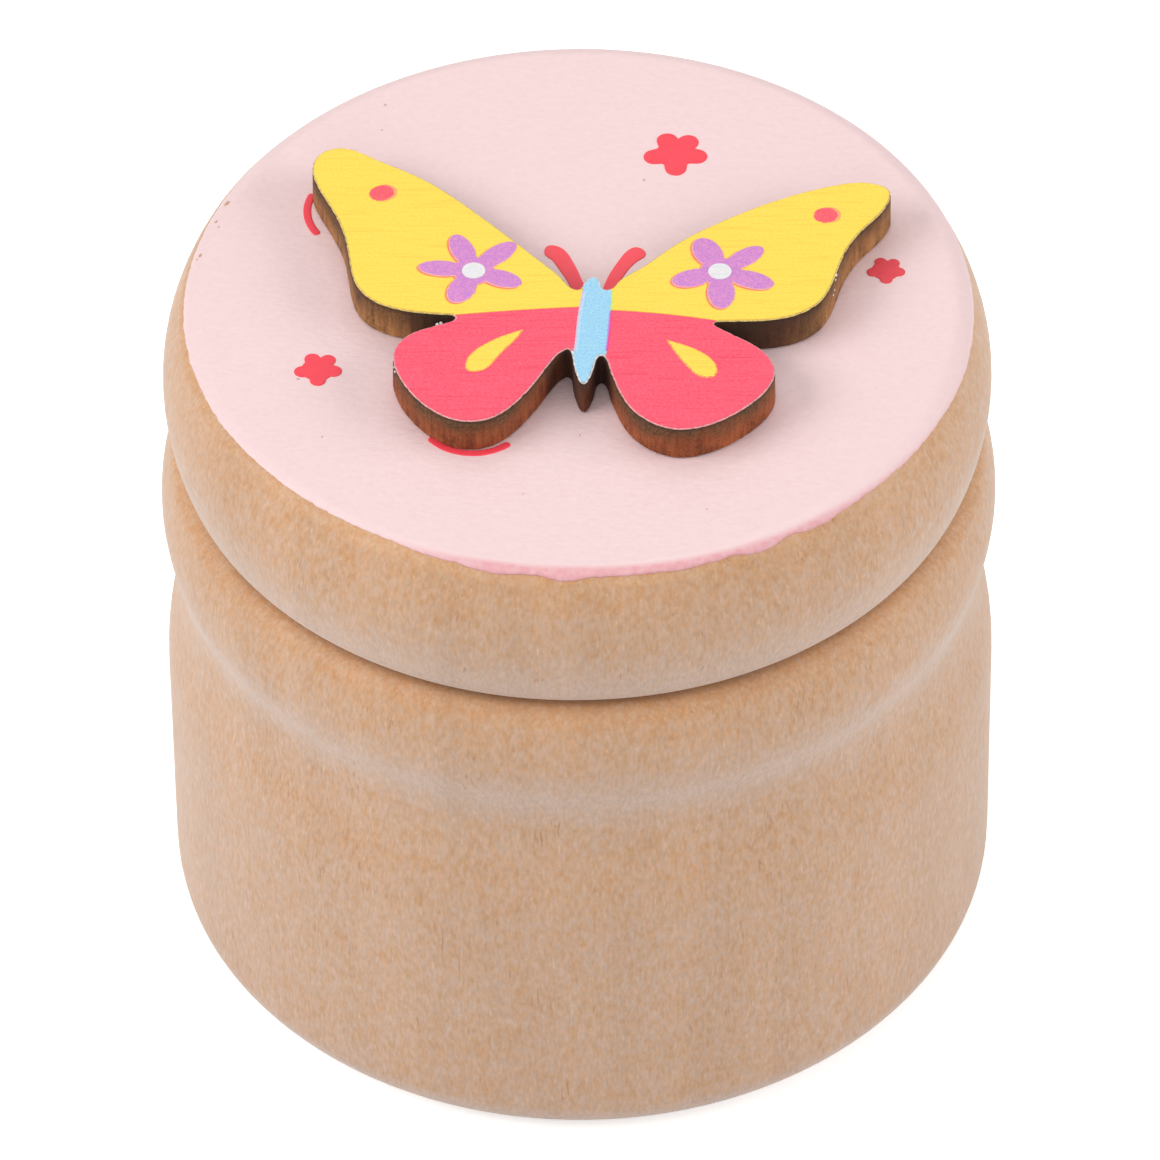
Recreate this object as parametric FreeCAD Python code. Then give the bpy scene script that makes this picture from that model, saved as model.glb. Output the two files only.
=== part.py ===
import FreeCAD, Part
import math
import os

from FreeCAD import Vector

# Round turned-wood box for milk teeth: a cup with a neck, a lid that lifts off it, and a
# laser-cut butterfly glued on the lid's painted face. Millimetres, +Z up, origin at the
# middle of the foot.

# Cup, from the foot upwards
wall_radius = 22.5
foot_height = 2.99
foot_lean = 0.27
foot_round = 2.22
wall_height = 12.91
shoulder_height = 7.03
cove_depth = 0.76
bead_rise = 4.68
bead_height = 3.78
bead_lean = 0.96
bead_round = 1.49

# Inside of the cup, and the neck that carries the lid
seat_width = 3.2
neck_wall = 1.6
neck_height = 4.2
floor_thickness = 5.0
floor_round = 1.5
edge_break = 0.3

# Lid
lid_inset = 0.35
lip_height = 4.5
lip_lean = 1.12
lip_round = 1.91
lid_side_height = 4.79
lid_side_lean = 1.37
lid_edge_round = 1.25
neck_clearance = 0.05
roof_clearance = 0.4

# Layers on the lid
coat_thickness = 0.12
paint_thickness = 0.05
glue_thickness = 0.06
butterfly_thickness = 2.0
base_thickness = 0.04
ink_thickness = 0.04
ink_margin = 0.09
ink_gap = 0.04

# Place of the butterfly on the lid
wing_span = 30.92
figure_x = 0.65
figure_y = -1.67
figure_turn = -4.4

# Outline of the butterfly in its own frame, as smooth strokes that meet at its notches
right_forewing = [
    (0.85, 0.42), (1.13, 0.5), (1.5, 1.08), (2.35, 1.98), (4.11, 3.95), (6.93, 6.37), (10.04, 8.33),
    (12.64, 9.45), (14.42, 9.71), (15.46, 9.19), (15.45, 8.11), (14.18, 5.9), (13.34, 3.98), (12.86, 1.81),
    (12.1, -0.05), (10.69, -1.12), (8.89, -1.54), (7.0, -1.69),
]
right_notch = [(7.0, -1.69), (6.77, -1.87), (6.92, -2.08)]
right_hindwing = [
    (6.92, -2.08), (8.28, -2.94), (9.58, -3.98), (10.17, -5.27), (9.82, -6.84), (8.71, -8.33), (7.02, -9.66),
    (5.36, -10.12), (3.7, -9.52), (2.52, -8.22), (1.85, -6.75), (1.46, -5.55), (1.27, -4.95), (1.04, -4.68),
]
tail = [
    (1.04, -4.68), (0.86, -4.76), (0.75, -5.0), (0.67, -5.48), (0.61, -5.98), (0.51, -6.42), (0.37, -6.8),
    (0.2, -6.94), (0.04, -6.84), (-0.12, -6.5), (-0.3, -5.97), (-0.45, -5.3), (-0.54, -4.75), (-0.64, -4.46),
    (-0.86, -4.3),
]
left_hindwing = [
    (-0.86, -4.3), (-1.2, -4.6), (-1.58, -5.24), (-2.24, -6.74), (-3.25, -8.6), (-4.51, -9.88),
    (-5.95, -10.17), (-7.48, -9.52), (-8.77, -8.2), (-9.72, -6.45), (-9.94, -4.98), (-9.13, -3.6),
    (-8.02, -2.96), (-7.02, -2.47),
]
left_notch = [(-7.02, -2.47), (-6.9, -2.22), (-7.08, -2.02)]
left_forewing = [
    (-7.08, -2.02), (-8.42, -1.99), (-9.92, -1.78), (-11.42, -1.12), (-12.31, -0.04), (-12.85, 1.79),
    (-13.29, 3.81), (-14.18, 5.98), (-15.12, 7.81), (-15.46, 9.24), (-14.95, 10.47), (-13.85, 10.81),
    (-12.45, 10.21), (-9.76, 8.77), (-6.67, 6.29), (-3.69, 3.42), (-2.25, 1.98), (-1.42, 1.06),
    (-1.04, 0.54), (-0.64, 0.32),
]
head = [
    (-0.64, 0.32), (-0.42, 0.5), (-0.32, 0.8), (-0.16, 1.13), (0.09, 1.38), (0.4, 1.26), (0.56, 0.86),
    (0.68, 0.56), (0.85, 0.42),
]
butterfly_strokes = [
    right_forewing, right_notch, right_hindwing, tail, left_hindwing, left_notch, left_forewing, head,
]

# Print on the butterfly, in the same frame
body_top = [(-0.3, 0.62), (-0.24, 1.3), (0.24, 1.7), (0.62, 1.1), (0.8, 0.55), (1.2, 0.36)]
body_right_side = [(1.2, 0.36), (1.25, -0.62), (1.26, -2.02), (1.26, -3.42), (1.22, -4.66)]
body_tail = [
    (1.22, -4.66), (0.95, -5.2), (0.8, -6.2), (0.17, -7.4), (-0.4, -6.6), (-0.6, -5.6), (-0.46, -4.75),
]
body_left_side = [(-0.46, -4.75), (-0.43, -3.52), (-0.43, -2.12), (-0.38, -0.71), (-0.3, 0.62)]
body_strokes = [body_top, body_right_side, body_tail, body_left_side]
body_axis = 0.41
wing_line_at_body = {"left": -0.94, "right": -1.2}
wing_line_middle = {"left": (-3.5, -1.46), "right": (3.87, -1.3)}
wing_line_notch = {"left": (-6.97, -2.06), "right": (6.84, -1.66)}
tail_root = {"left": (-0.62, -4.2), "right": (1.14, -4.6)}
wing_flower_centre = {"left": (-6.21, 1.42), "right": (6.86, 2.13)}
wing_flower_heart = 1.1
wing_petal_start = 0.4
# Each petal by its direction, how far it reaches from the flower's centre and half its width
wing_petals = {
    "left": [(49, 3.11, 0.66), (114, 3.06, 0.64), (177, 2.97, 0.63), (251, 2.7, 0.75), (341, 2.78, 0.65)],
    "right": [(44, 2.96, 0.64), (117, 2.88, 0.78), (202, 2.71, 0.7), (275, 2.91, 0.75), (342, 3.05, 0.68)],
}
flower_middle = {"left": (-6.21, 1.39), "right": (6.83, 2.11)}
flower_middle_radius = 0.62
wing_dot_ends = {"left": [(-11.66, 7.2), (-11.5, 7.32)], "right": [(12.14, 6.9), (12.27, 6.93)]}
wing_dot_radius = 0.61
wing_drops = {
    "left": [
        (-3.26, -3.02), (-3.79, -4.07), (-4.42, -5.1), (-5.03, -6.14), (-5.41, -6.36), (-5.94, -6.3),
        (-6.07, -5.7), (-5.32, -4.39), (-4.37, -3.61), (-3.26, -3.02),
    ],
    "right": [
        (4.34, -3.35), (5.59, -3.82), (6.6, -4.5), (7.12, -5.4), (7.0, -5.98), (6.45, -6.09), (5.67, -5.45),
        (4.97, -4.45), (4.34, -3.35),
    ],
}

# Feelers and strokes of red paint on the lid that belong to the butterfly, in its frame
antennae = {
    "left": [
        (-2.77, 5.52), (-2.51, 6.01), (-2.02, 5.93), (-1.49, 5.39), (-1.18, 4.78), (-0.87, 4.09),
        (-0.5, 3.12), (-0.31, 2.33), (-0.61, 1.99), (-0.96, 2.24), (-1.3, 3.04), (-1.95, 4.27),
        (-2.39, 4.94),
    ],
    "right": [
        (2.65, 5.53), (2.47, 5.99), (2.07, 6.14), (1.63, 5.8), (1.28, 5.12), (0.76, 3.72), (0.6, 3.06),
        (0.63, 2.38), (0.94, 2.18), (1.22, 2.67), (1.52, 3.65), (1.99, 4.67), (2.37, 5.16),
    ],
}
flutter_arcs = {
    "left": [(-15.57, 9.16), (-15.71, 8.15), (-15.07, 6.29)],
    "front": [(-7.61, -9.49), (-5.53, -10.39), (-3.67, -9.64)],
}
flutter_arc_width = 0.42

# Glue under the wings, in the butterfly's frame
glue_places = [(-8.0, 3.1), (8.3, 3.5), (-5.5, -5.8), (5.7, -5.8)]
glue_radius = 2.0

# Red flowers on the lid, placed by direction and by how far they lie in from the edge of its face
lid_flowers = {
    "back": {"direction": 65.2, "from_edge": 7.12, "reach": 1.74, "heart": 1.06},
    "left": {"direction": 200.1, "from_edge": 5.47, "reach": 1.28, "heart": 0.88},
    "right": {"direction": 7.7, "from_edge": 3.39, "reach": 1.04, "heart": 0.76},
}
lid_flower_angles = [111, 53, -11, 270, 191]
lid_petal_share = 0.33
lid_petal_root_share = 0.42

# Heights of the stack
cove_height = foot_height + wall_height + shoulder_height
crest_height = cove_height + bead_rise
seat_height = crest_height + bead_height
lid_crest_height = seat_height + lip_height
lid_top = lid_crest_height + lid_side_height
face_height = lid_top + coat_thickness
butterfly_height = face_height + glue_thickness
print_height = butterfly_height + butterfly_thickness
ink_height = print_height + base_thickness
overprint_height = ink_height + ink_thickness
centre_height = overprint_height + ink_thickness


def rz(radius, height):
    """Point of a turned profile."""
    return Vector(radius, 0, height)


def line(start, end):
    """Straight edge."""
    return Part.LineSegment(start, end).toShape()


def chain(points):
    """Straight edges from point to point."""
    return [line(start, end) for start, end in zip(points, points[1:])]


def arc_about(centre, start, end):
    """Arc from start to end about centre, the short way round."""
    spoke = (start - centre) + (end - centre)
    middle = centre + spoke.normalize() * (start - centre).Length
    return Part.Arc(start, middle, end).toShape()


def side_centre(crest, rise, lean):
    """Centre of the arc that stands upright at the crest and leans in by lean over the rise."""
    return crest - Vector((lean ** 2 + rise ** 2) / (2 * lean), 0, 0)


def corner_centre(crest, rise, lean, rounding):
    """Centre of the rounded corner between that side and the level face where it ends."""
    centre = side_centre(crest, rise, lean)
    spoke = crest.x - centre.x - rounding
    level = rise - math.copysign(rounding, rise)
    return centre + Vector(math.sqrt(spoke ** 2 - level ** 2), 0, level)


def corner_start(crest, rise, lean, rounding, proud=0.0):
    """Point where the side runs into its rounded corner, or the same point of a coat on it."""
    corner = corner_centre(crest, rise, lean, rounding)
    spoke = corner - side_centre(crest, rise, lean)
    return corner + spoke.normalize() * (rounding + proud)


def rounded_side(crest, rise, lean, rounding):
    """Edges from the crest along the leaning side and round its corner to the level face."""
    corner = corner_centre(crest, rise, lean, rounding)
    turn = corner_start(crest, rise, lean, rounding)
    level = corner + Vector(0, 0, math.copysign(rounding, rise))
    return [
        arc_about(side_centre(crest, rise, lean), crest, turn),
        arc_about(corner, turn, level),
    ]


def swing(start, end):
    """Two even arcs from start to end, upright at both."""
    middle = (start + end) * 0.5
    inset = start.x - middle.x
    rise = middle.z - start.z
    radius = (inset ** 2 + rise ** 2) / (2 * inset)
    return [
        arc_about(start - Vector(radius, 0, 0), start, middle),
        arc_about(end + Vector(radius, 0, 0), middle, end),
    ]


def turned(edges):
    """Solid turned about the Z axis from a closed profile."""
    profile = Part.Face(Part.Wire(Part.__sortEdges__(edges)))
    return profile.revolve(Vector(0, 0, 0), Vector(0, 0, 1), 360)


foot_crest = rz(wall_radius, foot_height)
wall_top = rz(wall_radius, foot_height + wall_height)
cove = rz(wall_radius - cove_depth, cove_height)
bead_crest = rz(wall_radius, crest_height)
lid_crest = rz(wall_radius - lid_inset, lid_crest_height)

foot_edge = corner_centre(foot_crest, -foot_height, foot_lean, foot_round).x
seat_edge = corner_centre(bead_crest, bead_height, bead_lean, bead_round).x
lip_edge = corner_centre(lid_crest, -lip_height, lip_lean, lip_round).x
face_edge = corner_centre(lid_crest, lid_side_height, lid_side_lean, lid_edge_round).x
neck_radius = seat_edge - seat_width
chamber_radius = neck_radius - neck_wall
recess_radius = neck_radius + neck_clearance
neck_top = seat_height + neck_height
recess_roof = neck_top + roof_clearance


def make_cup():
    """Cup with its chamber and the neck that the lid goes over."""
    floor_corner = rz(chamber_radius - floor_round, floor_thickness + floor_round)
    edges = rounded_side(foot_crest, -foot_height, foot_lean, foot_round)
    edges += [line(foot_crest, wall_top)]
    edges += swing(wall_top, cove)
    edges += swing(cove, bead_crest)
    edges += rounded_side(bead_crest, bead_height, bead_lean, bead_round)
    edges += chain([
        rz(seat_edge, seat_height),
        rz(neck_radius, seat_height),
        rz(neck_radius, neck_top - edge_break),
        rz(neck_radius - edge_break, neck_top),
        rz(chamber_radius + edge_break, neck_top),
        rz(chamber_radius, neck_top - edge_break),
        rz(chamber_radius, floor_corner.z),
    ])
    floor_edge = rz(floor_corner.x, floor_thickness)
    edges += [arc_about(floor_corner, rz(chamber_radius, floor_corner.z), floor_edge)]
    edges += chain([floor_edge, rz(0, floor_thickness), rz(0, 0), rz(foot_edge, 0)])
    return turned(edges)


def make_lid():
    """Lid with a rounded lip, a gently crowned side and a recess for the neck."""
    edges = rounded_side(lid_crest, -lip_height, lip_lean, lip_round)
    edges += rounded_side(lid_crest, lid_side_height, lid_side_lean, lid_edge_round)
    edges += chain([
        rz(face_edge, lid_top),
        rz(0, lid_top),
        rz(0, recess_roof),
        rz(recess_radius, recess_roof),
        rz(recess_radius, seat_height + edge_break),
        rz(recess_radius + edge_break, seat_height),
        rz(lip_edge, seat_height),
    ])
    return turned(edges)


def make_lid_coat():
    """Lacquer on the lid's face, rolled over its rounded edge."""
    side = (lid_crest, lid_side_height, lid_side_lean, lid_edge_round)
    corner = corner_centre(*side)
    wood_end = corner_start(*side)
    coat_end = corner_start(*side, proud=coat_thickness)
    edges = chain([rz(corner.x, lid_top), rz(0, lid_top), rz(0, face_height), rz(corner.x, face_height)])
    edges += [arc_about(corner, rz(corner.x, face_height), coat_end)]
    edges += [line(coat_end, wood_end)]
    edges += [arc_about(corner, wood_end, rz(corner.x, lid_top))]
    return turned(edges)


def flat(point):
    """Point of a flat drawing."""
    return Vector(point[0], point[1], 0)


def smooth_curve(points):
    """Smooth open curve through flat points."""
    curve = Part.BSplineCurve()
    curve.interpolate(points)
    return curve


def smooth_loop(points):
    """Face inside a smooth closed curve through the points."""
    curve = Part.BSplineCurve()
    curve.interpolate([flat(point) for point in points], PeriodicFlag=True)
    return Part.Face(Part.Wire(curve.toShape()))


def inset_points(stroke, inset):
    """Points of a clockwise stroke, drawn in towards the face that it bounds."""
    points = [flat(point) for point in stroke]
    curve = smooth_curve(points)
    shifted = []
    for point in points:
        tangent = curve.tangent(curve.parameter(point))[0]
        shifted.append(point + Vector(tangent.y, -tangent.x, 0) * inset)
    return shifted


def smooth_face(strokes, inset=0.0):
    """Face inside clockwise smooth strokes, drawn in or let out evenly and joined at the corners."""
    drawn = [inset_points(stroke, inset) for stroke in strokes]
    edges = []
    for points, following in zip(drawn, drawn[1:] + drawn[:1]):
        edges.append(smooth_curve(points).toShape())
        if inset:
            edges.append(line(points[-1], following[0]))
    return Part.Face(Part.Wire(edges))


def disc(centre, radius):
    """Round face."""
    return Part.Face(Part.Wire(Part.Circle(flat(centre), Vector(0, 0, 1), radius).toShape()))


def polar(centre, radius, angle):
    """Point at an angle, in radians, on a circle."""
    return centre + Vector(radius * math.cos(angle), radius * math.sin(angle), 0)


def tapered_face(start, start_radius, end, end_radius):
    """Face round two discs and the band between them."""
    start = flat(start)
    end = flat(end)
    run = end - start
    heading = math.atan2(run.y, run.x)
    spread = math.acos((start_radius - end_radius) / run.Length)
    start_left = polar(start, start_radius, heading + spread)
    start_right = polar(start, start_radius, heading - spread)
    end_left = polar(end, end_radius, heading + spread)
    end_right = polar(end, end_radius, heading - spread)
    return Part.Face(Part.Wire([
        Part.Arc(start_left, polar(start, start_radius, heading + math.pi), start_right).toShape(),
        line(start_right, end_right),
        Part.Arc(end_right, polar(end, end_radius, heading), end_left).toShape(),
        line(end_left, start_left),
    ]))


def arc_band(points, width):
    """Face of an even stroke with round ends along the arc through three points."""
    start, middle, end = [flat(point) for point in points]
    centre = Part.Arc(start, middle, end).toShape().Curve.Center
    half = width / 2

    def beside(point, shift):
        spoke = point - centre
        return centre + spoke.normalize() * ((point - centre).Length + shift)

    def cap(point, away):
        spoke = (point - centre).normalize()
        along = Vector(-spoke.y, spoke.x, 0)
        side = math.copysign(half, along.dot(point - away))
        return Part.Arc(beside(point, half), point + along * side, beside(point, -half)).toShape()

    return Part.Face(Part.Wire(Part.__sortEdges__([
        Part.Arc(beside(start, half), beside(middle, half), beside(end, half)).toShape(),
        cap(end, middle),
        Part.Arc(beside(end, -half), beside(middle, -half), beside(start, -half)).toShape(),
        cap(start, middle),
    ])))


def slab(face, thickness):
    """Thin solid on a flat face."""
    return face.extrude(Vector(0, 0, thickness))


def joined_slab(faces, thickness):
    """One thin solid on flat faces that overlap."""
    solid = slab(faces[0], thickness)
    for face in faces[1:]:
        solid = solid.fuse(slab(face, thickness))
    return solid.removeSplitter().Solids[0]


def oval_petal(centre, start, angle, reach, half_width):
    """Oval face of a petal that points away from a flower's centre at an angle."""
    heading = math.radians(angle)
    middle = polar(flat(centre), (start + reach) / 2, heading)
    tip = polar(flat(centre), reach, heading)
    beside = polar(middle, half_width, heading + math.pi / 2)
    return Part.Face(Part.Wire(Part.Ellipse(tip, beside, middle).toShape()))


outline_points = [point for stroke in butterfly_strokes for point in stroke]
drawn_span = max(x for x, y in outline_points) - min(x for x, y in outline_points)
figure_scale = wing_span / drawn_span


def sized(face):
    """Drawing brought to the butterfly's real span."""
    return face.scaled(figure_scale, Vector(0, 0, 0))


def on_lid(layer, height):
    """Layer that belongs to the butterfly, turned and set in its place on the lid."""
    layer.rotate(Vector(0, 0, 0), Vector(0, 0, 1), figure_turn)
    layer.translate(Vector(figure_x, figure_y, height))
    return layer


def through(face):
    """Solid on a flat face that passes right through a layer of ink."""
    column = slab(face, 3 * ink_thickness)
    column.translate(Vector(0, 0, -ink_thickness))
    return column


def largest(shape):
    """Main solid of a layer, without the crumbs left where areas barely meet."""
    return max(shape.Solids, key=lambda solid: solid.Volume)


butterfly_face = sized(smooth_face(butterfly_strokes))
printed_face = sized(smooth_face(butterfly_strokes, ink_margin))
body_face = sized(smooth_face(body_strokes))
body_margin_face = sized(smooth_face(body_strokes, -ink_gap))


def wing_area(side, part):
    """Drawing area of one wing, up to the body's axis and to the line between fore and hind wing."""
    outward = {"left": -1, "right": 1}[side]
    upward = {"fore": 1, "hind": -1}[part]
    shift = Vector(0, upward * ink_gap / 2, 0)
    at_body = flat((body_axis, wing_line_at_body[side])) + shift
    middle = flat(wing_line_middle[side]) + shift
    notch = flat(wing_line_notch[side]) + shift
    outside = outward * drawn_span
    beyond = upward * drawn_span
    corners = [(outside, notch.y), (outside, beyond)]
    if part == "fore":
        corners += [(body_axis, beyond)]
    else:
        beside_tail, above_tail = tail_root[side]
        corners += [(beside_tail, beyond), (beside_tail, above_tail), (body_axis, above_tail)]
    edges = [Part.Arc(at_body, middle, notch).toShape()]
    edges += chain([notch] + [flat(corner) for corner in corners] + [at_body])
    return sized(Part.Face(Part.Wire(edges)))


def make_wing_ink(side, part):
    """Coloured ink of one wing."""
    wing = slab(printed_face, ink_thickness).common(through(wing_area(side, part)))
    wing = wing.cut(through(body_margin_face))
    return on_lid(largest(wing), ink_height)


def make_body_ink():
    """Blue ink of the body."""
    body = slab(printed_face, ink_thickness).common(through(body_face))
    return on_lid(largest(body), ink_height)


def make_wing_flower(side):
    """Purple flower on a forewing."""
    centre = wing_flower_centre[side]
    faces = [disc(centre, wing_flower_heart)]
    faces += [oval_petal(centre, wing_petal_start, *petal) for petal in wing_petals[side]]
    return on_lid(joined_slab([sized(face) for face in faces], ink_thickness), overprint_height)


def make_flower_centre(side):
    """White middle of a wing flower."""
    face = disc(flower_middle[side], flower_middle_radius)
    return on_lid(slab(sized(face), ink_thickness), centre_height)


def make_wing_dot(side):
    """Red dot near the tip of a forewing."""
    start, end = wing_dot_ends[side]
    face = tapered_face(start, wing_dot_radius, end, wing_dot_radius)
    return on_lid(slab(sized(face), ink_thickness), overprint_height)


def make_wing_drop(side):
    """Yellow drop on a hindwing."""
    return on_lid(slab(sized(smooth_face([wing_drops[side]])), ink_thickness), overprint_height)


def make_antenna(side):
    """Feeler painted on the lid behind the butterfly's head."""
    return on_lid(slab(sized(smooth_loop(antennae[side])), paint_thickness), face_height)


def make_flutter_arc(place):
    """Stroke painted on the lid beside a wing."""
    band = arc_band(flutter_arcs[place], flutter_arc_width)
    return on_lid(slab(sized(band), paint_thickness), face_height)


def make_glue_spots():
    """Flat spots of glue between the lacquer and the butterfly."""
    faces = [sized(disc(place, glue_radius)) for place in glue_places]
    return Part.makeCompound([on_lid(slab(face, glue_thickness), face_height) for face in faces])


def make_lid_flower(direction, from_edge, reach, heart):
    """Red flower painted on the lid."""
    centre = polar(Vector(0, 0, 0), face_edge - from_edge, math.radians(direction))
    petal = reach * lid_petal_share
    root = reach * lid_petal_root_share
    faces = [disc(centre, heart)]
    for angle in lid_flower_angles:
        faces.append(tapered_face(centre, root, polar(centre, reach - petal, math.radians(angle)), petal))
    flower = joined_slab(faces, paint_thickness)
    flower.translate(Vector(0, 0, face_height))
    return flower


def make_parts():
    """Every piece of the box by name."""
    parts = {
        "cup": make_cup(),
        "lid": make_lid(),
        "lid_coat": make_lid_coat(),
        "glue_spots": make_glue_spots(),
        "butterfly": on_lid(slab(butterfly_face, butterfly_thickness), butterfly_height),
        "print_base": on_lid(slab(butterfly_face, base_thickness), print_height),
        "body_ink": make_body_ink(),
    }
    for side in ("left", "right"):
        parts["forewing_ink_" + side] = make_wing_ink(side, "fore")
        parts["hindwing_ink_" + side] = make_wing_ink(side, "hind")
        parts["wing_flower_" + side] = make_wing_flower(side)
        parts["flower_centre_" + side] = make_flower_centre(side)
        parts["wing_dot_" + side] = make_wing_dot(side)
        parts["wing_drop_" + side] = make_wing_drop(side)
        parts["antenna_" + side] = make_antenna(side)
    for place in flutter_arcs:
        parts["flutter_arc_" + place] = make_flutter_arc(place)
    for place, flower in lid_flowers.items():
        parts["lid_flower_" + place] = make_lid_flower(**flower)
    return parts


os.makedirs("parts", exist_ok=True)
for node, shape in make_parts().items():
    shape.exportStep("parts/" + node + ".step")
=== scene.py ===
import math
import random

import bmesh
import bpy
from mathutils import Matrix, Vector, kdtree, noise


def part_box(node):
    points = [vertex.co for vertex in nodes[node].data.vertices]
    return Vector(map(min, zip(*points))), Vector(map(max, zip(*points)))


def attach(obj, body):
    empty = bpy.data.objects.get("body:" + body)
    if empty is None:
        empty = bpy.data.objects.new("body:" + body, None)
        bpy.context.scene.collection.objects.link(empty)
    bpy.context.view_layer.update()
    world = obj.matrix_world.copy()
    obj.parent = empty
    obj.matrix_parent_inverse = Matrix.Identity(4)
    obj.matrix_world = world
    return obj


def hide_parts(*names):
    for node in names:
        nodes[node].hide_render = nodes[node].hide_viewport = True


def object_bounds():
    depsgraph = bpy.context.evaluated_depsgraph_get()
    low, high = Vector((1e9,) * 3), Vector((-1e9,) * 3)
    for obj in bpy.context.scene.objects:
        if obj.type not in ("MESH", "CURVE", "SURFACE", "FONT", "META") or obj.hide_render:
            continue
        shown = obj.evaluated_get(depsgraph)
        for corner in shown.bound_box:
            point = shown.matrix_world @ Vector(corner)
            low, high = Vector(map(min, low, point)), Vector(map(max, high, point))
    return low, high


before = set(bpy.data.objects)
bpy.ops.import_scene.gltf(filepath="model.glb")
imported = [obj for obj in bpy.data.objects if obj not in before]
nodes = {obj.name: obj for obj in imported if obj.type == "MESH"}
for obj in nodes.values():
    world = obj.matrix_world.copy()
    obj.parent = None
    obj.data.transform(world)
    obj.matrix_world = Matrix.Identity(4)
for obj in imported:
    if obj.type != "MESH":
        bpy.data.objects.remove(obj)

cad_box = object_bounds()

# Round wooden box for milk teeth: bare turned birch, a lid with a rose lacquered face, red prints on
# the lacquer, and a laser-cut butterfly with a charred edge and bright inks. Metres, +Z up.

MM = 0.001
SAME = 1e-6

# Photograph: where its camera stood
IMAGE_PIXELS = 1160
FOCAL_PIXELS = 11020
SENSOR_WIDTH = 36.0
CAMERA_DISTANCE = 600 * MM
CAMERA_ELEVATION = math.radians(43.97)
CAMERA_ROLL = math.radians(-0.65)
CAMERA_TARGET = Vector((0.02, 0.0, 20.30)) * MM

# The figure is glued on a little askew, and its wood's fibres run along its wings
FIGURE_TURN = math.radians(-4.4)

# Lacquer by direction in degrees from +X: how far it runs over the edge of the lid's face, in mm, and
# how thick it lies there, from 0 to 1. How thick it lies also deepens its colour, which is partly the
# thicker lacquer and partly painted shade on the rounding that faces the front
LACQUER_RUNS = [
    (-180, 0.95, 0.05), (-160, 0.75, 0.05), (-140, 0.51, 0.1), (-122, 0.38, 0.3), (-110, 0.57, 0.7),
    (-102, 0.82, 1.0), (-97, 0.66, 1.0), (-92, 0.94, 1.0), (-88, 0.73, 1.0), (-80, 0.77, 1.0),
    (-76, 0.88, 1.0), (-68, 0.8, 1.0), (-63, 1.06, 1.0), (-58, 0.82, 0.9), (-54, 1.06, 1.0),
    (-46, 0.97, 0.8), (-30, 1.06, 0.5), (-12, 1.27, 0.35), (5, 1.3, 0.3), (60, 1.1, 0.2), (130, 0.9, 0.1),
]

# Ragged end of the lacquer: waves in each radian round the lid, and how far they reach, in mm
LACQUER_RAGS = [(30, 0.05), (85, 0.04)]

# Where the lacquer's colour starts to deepen, in mm past the edge: soonest over a stretch in front, given
# in degrees, then further down with each degree away from it. After the ramp its colour is at its
# deepest. The deeper colour is partly thicker lacquer and partly painted shade on the rounding that
# faces the front.
DEEP_TINT_FRONT = -97
DEEP_TINT_HALF_STRETCH = 7
DEEP_TINT_START = 0.04
DEEP_TINT_RETREAT = 0.012
DEEP_TINT_RAMP = 0.3

# Over the edge, where it hasn't run, the lacquer thins out to this share of itself within a reach in mm
THINNED_SHARE = 0.25
THINNING_REACH = 0.5

# Chips in the lacquer's edge: direction in degrees, distance past the edge of the face and radius, in mm
CHIPS = [(156.0, 0.42, 0.24), (160.4, 0.4, 0.15), (161.7, 0.08, 0.1), (168.1, 0.45, 0.18), (168.9, 0.6, 0.1)]

# Dust caught in the lacquer: place on the lid's face and radius, in mm
DUST = [
    (-10.25, 16.0, 0.09), (-10.41, 13.96, 0.06), (3.71, 9.68, 0.08), (-14.74, -5.73, 0.09),
    (-13.43, -10.22, 0.06), (0.11, -10.29, 0.06), (-2.9, -14.74, 0.05), (6.68, -16.03, 0.05),
]

# Darkened places on the butterfly's edge, partly soot where the beam dwelt and partly painted shade:
# place and reach, in mm
SOOT_AND_SHADE = [(8.6, -3.6, 4.6), (-7.4, -3.4, 1.6), (0.3, -7.2, 2.0)]
SOOT_AND_SHADE_DARKEST = 0.95
SOOT_AND_SHADE_FADE = 0.35

# Crumbs of the ground on the butterfly's edge: place, depth below the print and radius, in mm
CRUMBS = [
    (-9.6, -7.1, 0.05, 0.09), (-9.55, -7.3, 0.2, 0.07), (-7.36, -3.95, 0.0, 0.1),
    (-7.18, -3.88, 0.0, 0.12), (13.85, -0.3, 0.05, 0.09), (13.8, -0.5, 0.2, 0.07),
    (13.85, -0.75, 0.75, 0.08), (13.9, -0.95, 0.95, 0.07),
]


def linear(code):
    """Linear colour of an sRGB hex code."""
    channels = [int(code[i:i + 2], 16) / 255 for i in (1, 3, 5)]
    return [c / 12.92 if c <= 0.04045 else ((c + 0.055) / 1.055) ** 2.4 for c in channels] + [1.0]


def per_mm(*sizes):
    """Texture scale that draws its features at these sizes in millimetres."""
    return [1 / (size * MM) for size in sizes]


def add(tree, kind, inputs=None, **settings):
    """Add a node with its settings, and fill or link its inputs."""
    node = tree.nodes.new("ShaderNode" + kind)
    for name, value in settings.items():
        setattr(node, name, value)
    for socket, value in (inputs or {}).items():
        if isinstance(value, bpy.types.Node):
            value = next(output for output in value.outputs if output.enabled)
        if isinstance(value, bpy.types.NodeSocket):
            tree.links.new(value, node.inputs[socket])
        else:
            node.inputs[socket].default_value = value
    return node


def start_material(name, finish):
    """New material with one shader of this finish, its tree, and the place that its patterns read."""
    material = bpy.data.materials.new(name)
    material.use_nodes = True
    tree = material.node_tree
    tree.nodes.clear()
    shader = add(tree, "BsdfPrincipled", finish)
    add(tree, "OutputMaterial", {"Surface": shader})
    return material, tree, shader, add(tree, "TexCoord").outputs["Object"]


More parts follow.
